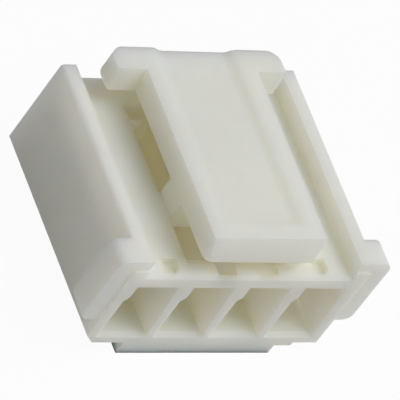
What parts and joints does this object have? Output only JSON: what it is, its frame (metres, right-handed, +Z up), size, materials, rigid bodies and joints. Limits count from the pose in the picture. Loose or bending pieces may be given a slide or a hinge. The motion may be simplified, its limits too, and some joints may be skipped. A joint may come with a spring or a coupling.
{
  "type": "wire to board connector housing",
  "caption": "Moulded nylon housing that holds a row of crimp contacts, with a rocking lock lever, guide rails, side lugs and a keying pad.",
  "frame": {"origin": "middle of the bounding box in X and Y, on the underside of the guide pad in Z", "axes": "+X along the row of contacts, +Y from the wire entry face to the mating face, +Z up through the deck to the lock lever"},
  "size_m": [0.0098, 0.0074, 0.0053],
  "materials": {
    "nylon": "smooth moulded, warm natural ivory, slightly translucent"
  },
  "bodies": {
    "root": {"housing": "nylon"}
  },
  "joints": []
}
